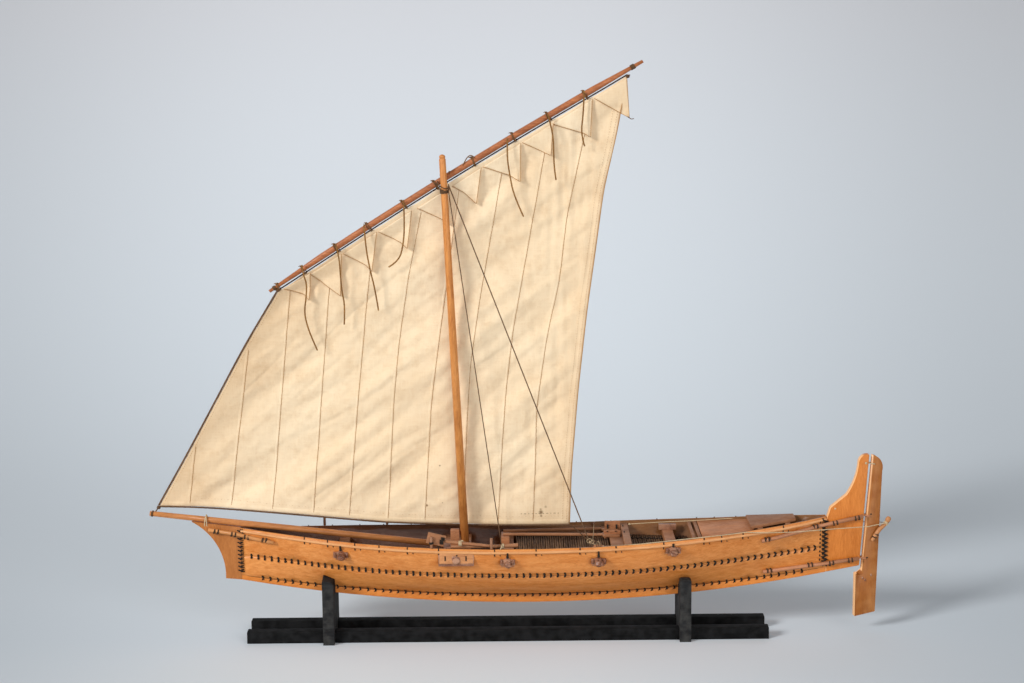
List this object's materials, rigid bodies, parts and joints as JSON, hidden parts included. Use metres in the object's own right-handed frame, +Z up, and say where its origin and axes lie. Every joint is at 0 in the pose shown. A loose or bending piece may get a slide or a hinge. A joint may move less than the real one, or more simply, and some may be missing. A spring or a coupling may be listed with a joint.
{
  "type": "model of a beden sailing boat on a stand",
  "caption": "Wooden model of a sewn double-ended sailing boat with a settee sail on a raked mast, a stern rudder that turns, inner fittings and a black two-cradle stand.",
  "frame": {"origin": "on the floor under the stand, midway between the tip of the tack spar and the tiller's knob, on the boat's centre-plane", "axes": "+X aft along the keel, +Y to starboard, +Z up"},
  "size_m": [0.7065, 0.0974, 0.5471],
  "materials": {
    "hull_wood": "orange-brown varnished hull timber, satin",
    "spar_wood": "red-brown oiled spar timber, satin",
    "inner_wood": "dull brown inner timber, matt",
    "black_wood": "matt black painted timber, worn at its edges",
    "sailcloth": "unbleached plain-woven cloth",
    "dark_cord": "dark twisted coir thread",
    "cane": "split cane, matt"
  },
  "bodies": {
    "root": {"aft_seat": "inner_wood", "beam_aft": "inner_wood", "beam_bow": "inner_wood", "beam_end_blocks": "inner_wood", "beam_mast": "inner_wood", "beam_middle": "inner_wood", "beam_stern": "inner_wood", "cradle_aft": "black_wood", "cradle_fore": "black_wood", "deck_beams": "inner_wood", "floor_mat_aft": "cane", "floor_mat_fore": "cane", "halyard_aft": "dark_cord", "halyard_fore": "dark_cord", "head_rope": "dark_cord", "keel": "hull_wood", "mast": "spar_wood", "mast_chock": "inner_wood", "mast_step": "inner_wood", "oar_crutch": "inner_wood", "oar_port": "inner_wood", "oar_starboard_inner": "inner_wood", "oar_starboard_outer": "inner_wood", "pole_port": "inner_wood", "rail_port": "hull_wood", "rail_starboard": "hull_wood", "rods_bow": "hull_wood", "rods_stern_lower": "hull_wood", "rods_stern_upper": "hull_wood", "rudder_lacings": "dark_cord", "sail": "sailcloth", "seat_bearers": "inner_wood", "sheet_line": "dark_cord", "stand_bar_port": "black_wood", "stand_bar_starboard": "black_wood", "stem": "hull_wood", "stern_chock": "inner_wood", "stern_deck": "inner_wood", "stern_fin": "hull_wood", "strake_lower_port": "hull_wood", "strake_lower_starboard": "hull_wood", "strake_upper_port": "hull_wood", "strake_upper_starboard": "hull_wood", "tack_spar": "spar_wood", "thole_pins": "inner_wood", "thwart_high": "inner_wood", "thwart_low": "inner_wood", "yard": "spar_wood", "yard_ties": "dark_cord"},
    "rudder": {"rudder_blade": "hull_wood", "tiller": "inner_wood"}
  },
  "joints": [
    {"name": "rudder_steer", "type": "hinge", "parent": "root", "child": "rudder", "pos_m": [0.3244, 0, 0.068], "axis": [0.0741, 0, 0.9972], "range_deg": [-40, 20]}
  ]
}
